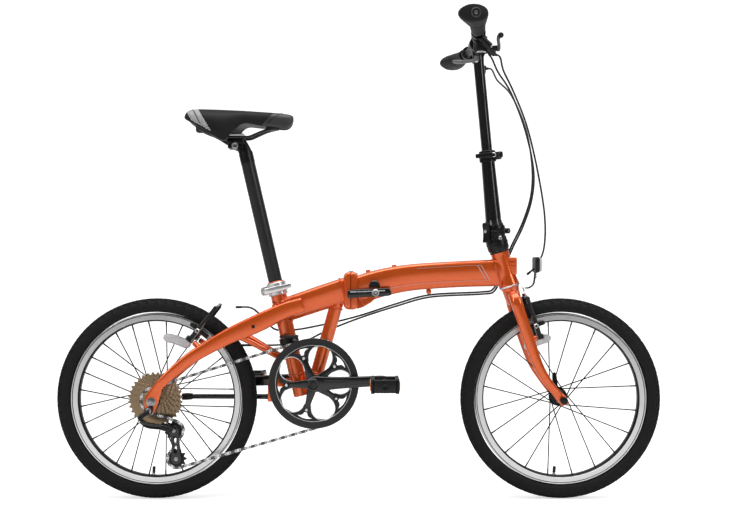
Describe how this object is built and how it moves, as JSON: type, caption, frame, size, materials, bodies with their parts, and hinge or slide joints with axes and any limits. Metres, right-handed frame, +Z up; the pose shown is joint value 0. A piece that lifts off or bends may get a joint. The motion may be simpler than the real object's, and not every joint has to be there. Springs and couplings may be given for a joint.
{
  "type": "folding_bicycle",
  "caption": "Burnt orange folding bicycle with 20 inch wheels, a hinged main beam, folding handlebar post, linear-pull brakes, rear derailleur and folding pedals.",
  "frame": {"origin": "on the ground, midway between the two wheels, in the plane of the frame", "axes": "+X forward along the direction of travel, +Y to the rider's left, +Z up"},
  "size_m": [1.478, 0.569, 1.141],
  "materials": {
    "frame_paint": "metallic burnt orange, clear coated",
    "black_alloy": "satin black anodised",
    "grey_alloy": "dark grey anodised",
    "silver_alloy": "bright machined",
    "steel": "plain steel",
    "rubber": "matte moulded rubber",
    "tyre": "matte, block tread",
    "saddle_cover": "matte synthetic cover",
    "black_plastic": "fine satin mould texture",
    "grey_plastic": "satin",
    "sprocket_steel": "champagne nickel finish",
    "chain_steel": "oiled dark steel",
    "cable_housing": "smooth satin black"
  },
  "bodies": {
    "rear_frame": {"rear_frame": "frame_paint", "frame_hinge_pin": "steel", "bottom_bracket": "grey_alloy", "rear_axle": "steel", "seat_clamp": "silver_alloy", "chain_guide": "black_plastic", "derailleur_body": "black_alloy", "chain": "chain_steel", "rear_brake_cable": "cable_housing", "shift_cable": "cable_housing"},
    "front_frame": {"front_frame": "frame_paint"},
    "frame_latch": {"frame_latch_lever": "black_alloy"},
    "safety_catch": {"safety_catch": "black_plastic"},
    "fork": {"fork": "frame_paint", "handlepost_base": "black_alloy", "handlepost_pin": "steel", "front_axle": "steel", "front_brake_cable": "cable_housing"},
    "handlepost": {"handlepost": "black_alloy", "height_clamp": "black_alloy"},
    "handlepost_latch": {"handlepost_latch": "black_alloy"},
    "height_lever": {"height_lever": "black_alloy"},
    "bar": {"handlepost_inner": "black_alloy", "handlebar": "grey_alloy", "grip_left": "rubber", "grip_right": "rubber", "brake_bracket_left": "black_alloy", "brake_bracket_right": "black_alloy", "shifter_pod": "black_plastic"},
    "brake_lever_left": {"brake_lever_left": "black_alloy"},
    "brake_lever_right": {"brake_lever_right": "black_alloy"},
    "shifter_lever": {"shifter_lever": "grey_plastic"},
    "front_brake_arm_left": {"front_brake_arm_left": "black_alloy"},
    "front_brake_arm_right": {"front_brake_arm_right": "black_alloy"},
    "rear_brake_arm_left": {"rear_brake_arm_left": "black_alloy"},
    "rear_brake_arm_right": {"rear_brake_arm_right": "black_alloy"},
    "seatpost": {"seatpost": "grey_alloy", "saddle_clamp": "black_alloy", "saddle_rails": "steel", "saddle": "saddle_cover"},
    "seat_lever": {"seat_clamp_lever": "black_alloy"},
    "rear_wheel": {"rear_tyre": "tyre", "rear_rim": "silver_alloy", "rear_hub": "black_alloy"},
    "front_wheel": {"front_tyre": "tyre", "front_rim": "silver_alloy", "front_hub": "black_alloy"},
    "cranks": {"crank_right": "black_alloy", "chainring": "grey_alloy", "crank_left": "black_alloy"},
    "pedal_axle_left": {"pedal_axle_left": "steel"},
    "pedal_axle_right": {"pedal_axle_right": "steel"},
    "pedal_left": {"pedal_left": "black_plastic"},
    "pedal_right": {"pedal_right": "black_plastic"},
    "cassette": {"cassette": "sprocket_steel"},
    "derailleur_cage": {"derailleur_cage": "black_alloy"},
    "guide_pulley": {"guide_pulley": "black_plastic"},
    "tension_pulley": {"tension_pulley": "black_plastic"},
    "front_qr": {"front_qr_lever": "black_alloy"},
    "kickstand": {"kickstand": "black_alloy"}
  },
  "joints": [
    {"name": "frame_fold", "type": "hinge", "parent": "rear_frame", "child": "front_frame", "pos_m": [-0.019, 0.032, 0.5085], "axis": [0, 0, 1], "range_deg": [0, 140], "deforming": ["rear_brake_cable"]},
    {"name": "frame_latch", "type": "hinge", "parent": "front_frame", "child": "frame_latch", "pos_m": [-0.0245, -0.0345, 0.5035], "axis": [0, 0, -1], "range_deg": [0, 120]},
    {"name": "safety_catch_slide", "type": "slide", "parent": "front_frame", "child": "safety_catch", "axis": [0, 0, 1], "range_m": [0, 0.006], "stiffness_N_per_m": 200, "springref_m": -0.003},
    {"name": "steering", "type": "hinge", "parent": "front_frame", "child": "fork", "pos_m": [0.3707, 0, 0.5175], "axis": [-0.2807, 0, 0.9598], "range_deg": [-70, 70], "deforming": ["shift_cable"]},
    {"name": "handlepost_latch", "type": "hinge", "parent": "fork", "child": "handlepost_latch", "pos_m": [0.3111, -0.0219, 0.6258], "axis": [0.7071, -0.7071, 0], "range_deg": [0, 110]},
    {"name": "handlepost_fold", "type": "hinge", "parent": "fork", "child": "handlepost", "pos_m": [0.35669, 0.02369, 0.6558], "axis": [0.7071, -0.7071, 0], "range_deg": [-165, 0], "deforming": ["front_brake_cable"]},
    {"name": "height_lever", "type": "hinge", "parent": "handlepost", "child": "height_lever", "pos_m": [0.34883, -0.015, 0.84108], "axis": [-0.0931, 0, 0.9957], "range_deg": [0, 150]},
    {"name": "handlebar_height", "type": "slide", "parent": "handlepost", "child": "bar", "axis": [-0.0931, 0, 0.9957], "range_m": [-0.1, 0.02]},
    {"name": "brake_lever_right", "type": "hinge", "parent": "bar", "child": "brake_lever_right", "pos_m": [0.31497, -0.1235, 1.07799], "axis": [-0.658, 0, -0.753], "range_deg": [0, 16], "stiffness_Nm_per_rad": 2, "springref_deg": -5.73},
    {"name": "brake_lever_left", "type": "hinge", "parent": "bar", "child": "brake_lever_left", "pos_m": [0.31497, 0.1235, 1.07799], "axis": [0.658, 0, 0.753], "range_deg": [0, 16], "stiffness_Nm_per_rad": 2, "springref_deg": -5.73},
    {"name": "shifter", "type": "hinge", "parent": "bar", "child": "shifter_lever", "pos_m": [0.27953, -0.087, 1.06947], "axis": [0, 0, 1], "range_deg": [0, 20], "stiffness_Nm_per_rad": 1, "springref_deg": -5.73},
    {"name": "front_brake_arm_right", "type": "hinge", "parent": "fork", "child": "front_brake_arm_right", "pos_m": [0.4365, -0.043, 0.398], "axis": [-0.9597, 0, -0.2809], "range_deg": [0, 2.9]},
    {"name": "front_brake_arm_left", "type": "hinge", "parent": "fork", "child": "front_brake_arm_left", "pos_m": [0.4365, 0.043, 0.398], "axis": [0.9597, 0, 0.2809], "range_deg": [0, 2.9]},
    {"name": "rear_brake_arm_right", "type": "hinge", "parent": "rear_frame", "child": "rear_brake_arm_right", "pos_m": [-0.4065, -0.041, 0.3915], "axis": [0.7852, 0, -0.6192], "range_deg": [0, 2.9]},
    {"name": "rear_brake_arm_left", "type": "hinge", "parent": "rear_frame", "child": "rear_brake_arm_left", "pos_m": [-0.4065, 0.041, 0.3915], "axis": [-0.7852, 0, 0.6192], "range_deg": [0, 2.9]},
    {"name": "seat_height", "type": "slide", "parent": "rear_frame", "child": "seatpost", "axis": [-0.2256, 0, 0.9742], "range_m": [-0.24, 0.06]},
    {"name": "seat_lever", "type": "hinge", "parent": "rear_frame", "child": "seat_lever", "pos_m": [-0.23522, -0.015, 0.50509], "axis": [0.2256, 0, -0.9742], "range_deg": [0, 150]},
    {"name": "rear_wheel_spin", "type": "hinge", "parent": "rear_frame", "child": "rear_wheel", "pos_m": [-0.494, 0, 0.245], "axis": [0, 1, 0], "continuous": true},
    {"name": "front_wheel_spin", "type": "hinge", "parent": "fork", "child": "front_wheel", "pos_m": [0.494, 0, 0.245], "axis": [0, 1, 0], "continuous": true},
    {"name": "crank_spin", "type": "hinge", "parent": "rear_frame", "child": "cranks", "pos_m": [-0.108, 0, 0.287], "axis": [0, 1, 0], "continuous": true, "deforming": ["chain"]},
    {"name": "pedal_spin_right", "type": "hinge", "parent": "cranks", "child": "pedal_axle_right", "pos_m": [0.06177, 0, 0.2959], "axis": [0, 1, 0], "continuous": true},
    {"name": "pedal_spin_left", "type": "hinge", "parent": "cranks", "child": "pedal_axle_left", "pos_m": [-0.27777, 0, 0.2781], "axis": [0, 1, 0], "continuous": true},
    {"name": "pedal_fold_right", "type": "hinge", "parent": "pedal_axle_right", "child": "pedal_right", "pos_m": [0.06177, -0.1, 0.2959], "axis": [-1, 0, 0], "range_deg": [0, 90]},
    {"name": "pedal_fold_left", "type": "hinge", "parent": "pedal_axle_left", "child": "pedal_left", "pos_m": [-0.27777, 0.1, 0.2781], "axis": [1, 0, 0], "range_deg": [0, 90]},
    {"name": "cassette_spin", "type": "hinge", "parent": "rear_frame", "child": "cassette", "pos_m": [-0.494, 0, 0.245], "axis": [0, 1, 0], "continuous": true},
    {"name": "derailleur_swing", "type": "hinge", "parent": "rear_frame", "child": "derailleur_cage", "pos_m": [-0.4435, -0.047, 0.1738], "axis": [0, 1, 0], "range_deg": [-12, 15], "stiffness_Nm_per_rad": 1},
    {"name": "guide_pulley_spin", "type": "hinge", "parent": "derailleur_cage", "child": "guide_pulley", "pos_m": [-0.4435, -0.047, 0.1738], "axis": [0, 1, 0], "continuous": true},
    {"name": "tension_pulley_spin", "type": "hinge", "parent": "derailleur_cage", "child": "tension_pulley", "pos_m": [-0.4378, -0.047, 0.1056], "axis": [0, 1, 0], "continuous": true},
    {"name": "front_qr", "type": "hinge", "parent": "fork", "child": "front_qr", "pos_m": [0.494, 0.0677, 0.24], "axis": [-1, 0, 0], "range_deg": [0, 150]},
    {"name": "kickstand_fold", "type": "hinge", "parent": "rear_frame", "child": "kickstand", "pos_m": [-0.213, 0.039, 0.243], "axis": [0, -0.96, -0.28], "range_deg": [0, 87]}
  ],
  "couplings": [
    {"joint": "front_brake_arm_right", "follows": "brake_lever_right", "ratio": 0.18},
    {"joint": "front_brake_arm_left", "follows": "brake_lever_right", "ratio": 0.18},
    {"joint": "rear_brake_arm_right", "follows": "brake_lever_left", "ratio": 0.18},
    {"joint": "rear_brake_arm_left", "follows": "brake_lever_left", "ratio": 0.18},
    {"joint": "cassette_spin", "follows": "crank_spin", "ratio": 3.4667},
    {"joint": "guide_pulley_spin", "follows": "crank_spin", "ratio": -4.7273},
    {"joint": "tension_pulley_spin", "follows": "crank_spin", "ratio": 4.7273}
  ]
}
